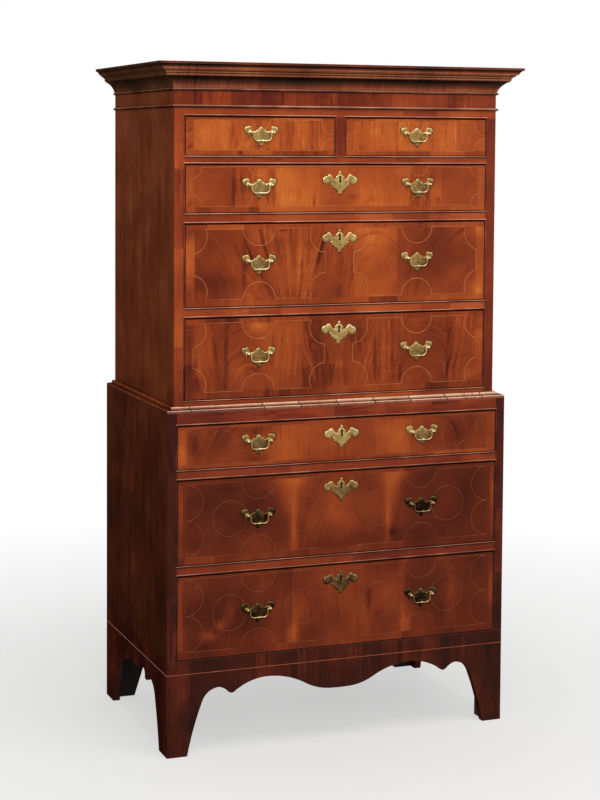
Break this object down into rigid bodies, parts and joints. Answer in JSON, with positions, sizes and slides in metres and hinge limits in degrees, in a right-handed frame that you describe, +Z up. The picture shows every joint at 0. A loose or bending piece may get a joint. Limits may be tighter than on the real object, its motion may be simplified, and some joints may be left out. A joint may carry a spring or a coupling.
{
  "type": "chest on chest",
  "caption": "Veneered chest on chest with moulded cornice, short over long drawers in two cases, brass bail handles, locks, shaped apron and bracket feet.",
  "frame": {"origin": "on the floor, under the middle of the whole piece", "axes": "+Z up, -Y out of the drawer fronts, +X to the right seen from the front"},
  "size_m": [1.046, 0.621, 1.82],
  "materials": {
    "walnut_veneer": "waxed and polished",
    "figured_walnut": "waxed and polished figured veneer",
    "walnut_moulding": "cross-grained, waxed",
    "secondary_wood": "bare, aged pine and oak",
    "drawer_lining_oak": "bare, aged oak",
    "aged_brass": "cast, aged, worn bright",
    "lock_iron": "dull filed iron"
  },
  "bodies": {
    "case": {"lower_case_sides": "walnut_veneer", "lower_case_boards": "secondary_wood", "lower_back_boards": "secondary_wood", "lower_front_frame": "walnut_veneer", "lower_runners_and_dust_boards": "secondary_wood", "base_boards": "walnut_veneer", "foot_blocks_and_rear_brackets": "secondary_wood", "waist_moulding": "walnut_moulding", "upper_case_sides": "walnut_veneer", "upper_case_boards": "secondary_wood", "upper_back_boards": "secondary_wood", "upper_front_frame": "walnut_veneer", "upper_runners_and_dust_boards": "secondary_wood", "cornice_moulding": "walnut_moulding", "frieze_beads": "walnut_moulding", "drawer_opening_beads": "walnut_moulding"},
    "lower_bottom_drawer": {"lower_bottom_drawer_front": "figured_walnut", "lower_bottom_drawer_lining": "drawer_lining_oak", "lower_bottom_drawer_brass_fittings": "aged_brass"},
    "lower_bottom_drawer_left_bail": {"lower_bottom_drawer_left_bail": "aged_brass"},
    "lower_bottom_drawer_right_bail": {"lower_bottom_drawer_right_bail": "aged_brass"},
    "lower_bottom_drawer_lock_bolt": {"lower_bottom_drawer_lock_bolt": "lock_iron"},
    "lower_middle_drawer": {"lower_middle_drawer_front": "figured_walnut", "lower_middle_drawer_lining": "drawer_lining_oak", "lower_middle_drawer_brass_fittings": "aged_brass"},
    "lower_middle_drawer_left_bail": {"lower_middle_drawer_left_bail": "aged_brass"},
    "lower_middle_drawer_right_bail": {"lower_middle_drawer_right_bail": "aged_brass"},
    "lower_middle_drawer_lock_bolt": {"lower_middle_drawer_lock_bolt": "lock_iron"},
    "lower_top_drawer": {"lower_top_drawer_front": "figured_walnut", "lower_top_drawer_lining": "drawer_lining_oak", "lower_top_drawer_brass_fittings": "aged_brass"},
    "lower_top_drawer_left_bail": {"lower_top_drawer_left_bail": "aged_brass"},
    "lower_top_drawer_right_bail": {"lower_top_drawer_right_bail": "aged_brass"},
    "lower_top_drawer_lock_bolt": {"lower_top_drawer_lock_bolt": "lock_iron"},
    "upper_bottom_drawer": {"upper_bottom_drawer_front": "figured_walnut", "upper_bottom_drawer_lining": "drawer_lining_oak", "upper_bottom_drawer_brass_fittings": "aged_brass"},
    "upper_bottom_drawer_left_bail": {"upper_bottom_drawer_left_bail": "aged_brass"},
    "upper_bottom_drawer_right_bail": {"upper_bottom_drawer_right_bail": "aged_brass"},
    "upper_bottom_drawer_lock_bolt": {"upper_bottom_drawer_lock_bolt": "lock_iron"},
    "upper_middle_drawer": {"upper_middle_drawer_front": "figured_walnut", "upper_middle_drawer_lining": "drawer_lining_oak", "upper_middle_drawer_brass_fittings": "aged_brass"},
    "upper_middle_drawer_left_bail": {"upper_middle_drawer_left_bail": "aged_brass"},
    "upper_middle_drawer_right_bail": {"upper_middle_drawer_right_bail": "aged_brass"},
    "upper_middle_drawer_lock_bolt": {"upper_middle_drawer_lock_bolt": "lock_iron"},
    "upper_top_drawer": {"upper_top_drawer_front": "figured_walnut", "upper_top_drawer_lining": "drawer_lining_oak", "upper_top_drawer_brass_fittings": "aged_brass"},
    "upper_top_drawer_left_bail": {"upper_top_drawer_left_bail": "aged_brass"},
    "upper_top_drawer_right_bail": {"upper_top_drawer_right_bail": "aged_brass"},
    "upper_top_drawer_lock_bolt": {"upper_top_drawer_lock_bolt": "lock_iron"},
    "left_short_drawer": {"left_short_drawer_front": "figured_walnut", "left_short_drawer_lining": "drawer_lining_oak", "left_short_drawer_brass_fittings": "aged_brass"},
    "left_short_drawer_bail": {"left_short_drawer_bail": "aged_brass"},
    "right_short_drawer": {"right_short_drawer_front": "figured_walnut", "right_short_drawer_lining": "drawer_lining_oak", "right_short_drawer_brass_fittings": "aged_brass"},
    "right_short_drawer_bail": {"right_short_drawer_bail": "aged_brass"}
  },
  "joints": [
    {"name": "lower_bottom_drawer_slide", "type": "slide", "parent": "case", "child": "lower_bottom_drawer", "axis": [0, -1, 0], "range_m": [0, 0.45]},
    {"name": "lower_bottom_drawer_left_bail_swing", "type": "hinge", "parent": "lower_bottom_drawer", "child": "lower_bottom_drawer_left_bail", "pos_m": [-0.238, -0.2895, 0.3774], "axis": [-1, 0, 0], "range_deg": [-15, 165]},
    {"name": "lower_bottom_drawer_right_bail_swing", "type": "hinge", "parent": "lower_bottom_drawer", "child": "lower_bottom_drawer_right_bail", "pos_m": [0.238, -0.2895, 0.3774], "axis": [-1, 0, 0], "range_deg": [-15, 165]},
    {"name": "lower_bottom_drawer_lock_bolt_throw", "type": "slide", "parent": "lower_bottom_drawer", "child": "lower_bottom_drawer_lock_bolt", "axis": [0, 0, 1], "range_m": [0, 0.008]},
    {"name": "lower_middle_drawer_slide", "type": "slide", "parent": "case", "child": "lower_middle_drawer", "axis": [0, -1, 0], "range_m": [0, 0.45]},
    {"name": "lower_middle_drawer_left_bail_swing", "type": "hinge", "parent": "lower_middle_drawer", "child": "lower_middle_drawer_left_bail", "pos_m": [-0.238, -0.2895, 0.6294], "axis": [-1, 0, 0], "range_deg": [-15, 165]},
    {"name": "lower_middle_drawer_right_bail_swing", "type": "hinge", "parent": "lower_middle_drawer", "child": "lower_middle_drawer_right_bail", "pos_m": [0.238, -0.2895, 0.6294], "axis": [-1, 0, 0], "range_deg": [-15, 165]},
    {"name": "lower_middle_drawer_lock_bolt_throw", "type": "slide", "parent": "lower_middle_drawer", "child": "lower_middle_drawer_lock_bolt", "axis": [0, 0, 1], "range_m": [0, 0.008]},
    {"name": "lower_top_drawer_slide", "type": "slide", "parent": "case", "child": "lower_top_drawer", "axis": [0, -1, 0], "range_m": [0, 0.45]},
    {"name": "lower_top_drawer_left_bail_swing", "type": "hinge", "parent": "lower_top_drawer", "child": "lower_top_drawer_left_bail", "pos_m": [-0.238, -0.2895, 0.8274], "axis": [-1, 0, 0], "range_deg": [-15, 165]},
    {"name": "lower_top_drawer_right_bail_swing", "type": "hinge", "parent": "lower_top_drawer", "child": "lower_top_drawer_right_bail", "pos_m": [0.238, -0.2895, 0.8274], "axis": [-1, 0, 0], "range_deg": [-15, 165]},
    {"name": "lower_top_drawer_lock_bolt_throw", "type": "slide", "parent": "lower_top_drawer", "child": "lower_top_drawer_lock_bolt", "axis": [0, 0, 1], "range_m": [0, 0.008]},
    {"name": "upper_bottom_drawer_slide", "type": "slide", "parent": "case", "child": "upper_bottom_drawer", "axis": [0, -1, 0], "range_m": [0, 0.42]},
    {"name": "upper_bottom_drawer_left_bail_swing", "type": "hinge", "parent": "upper_bottom_drawer", "child": "upper_bottom_drawer_left_bail", "pos_m": [-0.23, -0.2645, 1.0554], "axis": [-1, 0, 0], "range_deg": [-15, 165]},
    {"name": "upper_bottom_drawer_right_bail_swing", "type": "hinge", "parent": "upper_bottom_drawer", "child": "upper_bottom_drawer_right_bail", "pos_m": [0.23, -0.2645, 1.0554], "axis": [-1, 0, 0], "range_deg": [-15, 165]},
    {"name": "upper_bottom_drawer_lock_bolt_throw", "type": "slide", "parent": "upper_bottom_drawer", "child": "upper_bottom_drawer_lock_bolt", "axis": [0, 0, 1], "range_m": [0, 0.008]},
    {"name": "upper_middle_drawer_slide", "type": "slide", "parent": "case", "child": "upper_middle_drawer", "axis": [0, -1, 0], "range_m": [0, 0.42]},
    {"name": "upper_middle_drawer_left_bail_swing", "type": "hinge", "parent": "upper_middle_drawer", "child": "upper_middle_drawer_left_bail", "pos_m": [-0.23, -0.2645, 1.3004], "axis": [-1, 0, 0], "range_deg": [-15, 165]},
    {"name": "upper_middle_drawer_right_bail_swing", "type": "hinge", "parent": "upper_middle_drawer", "child": "upper_middle_drawer_right_bail", "pos_m": [0.23, -0.2645, 1.3004], "axis": [-1, 0, 0], "range_deg": [-15, 165]},
    {"name": "upper_middle_drawer_lock_bolt_throw", "type": "slide", "parent": "upper_middle_drawer", "child": "upper_middle_drawer_lock_bolt", "axis": [0, 0, 1], "range_m": [0, 0.008]},
    {"name": "upper_top_drawer_slide", "type": "slide", "parent": "case", "child": "upper_top_drawer", "axis": [0, -1, 0], "range_m": [0, 0.42]},
    {"name": "upper_top_drawer_left_bail_swing", "type": "hinge", "parent": "upper_top_drawer", "child": "upper_top_drawer_left_bail", "pos_m": [-0.23, -0.2645, 1.5014], "axis": [-1, 0, 0], "range_deg": [-15, 165]},
    {"name": "upper_top_drawer_right_bail_swing", "type": "hinge", "parent": "upper_top_drawer", "child": "upper_top_drawer_right_bail", "pos_m": [0.23, -0.2645, 1.5014], "axis": [-1, 0, 0], "range_deg": [-15, 165]},
    {"name": "upper_top_drawer_lock_bolt_throw", "type": "slide", "parent": "upper_top_drawer", "child": "upper_top_drawer_lock_bolt", "axis": [0, 0, 1], "range_m": [0, 0.008]},
    {"name": "left_short_drawer_slide", "type": "slide", "parent": "case", "child": "left_short_drawer", "axis": [0, -1, 0], "range_m": [0, 0.42]},
    {"name": "left_short_drawer_bail_swing", "type": "hinge", "parent": "left_short_drawer", "child": "left_short_drawer_bail", "pos_m": [-0.2255, -0.2645, 1.6389], "axis": [-1, 0, 0], "range_deg": [-15, 165]},
    {"name": "right_short_drawer_slide", "type": "slide", "parent": "case", "child": "right_short_drawer", "axis": [0, -1, 0], "range_m": [0, 0.42]},
    {"name": "right_short_drawer_bail_swing", "type": "hinge", "parent": "right_short_drawer", "child": "right_short_drawer_bail", "pos_m": [0.2255, -0.2645, 1.6389], "axis": [-1, 0, 0], "range_deg": [-15, 165]}
  ]
}
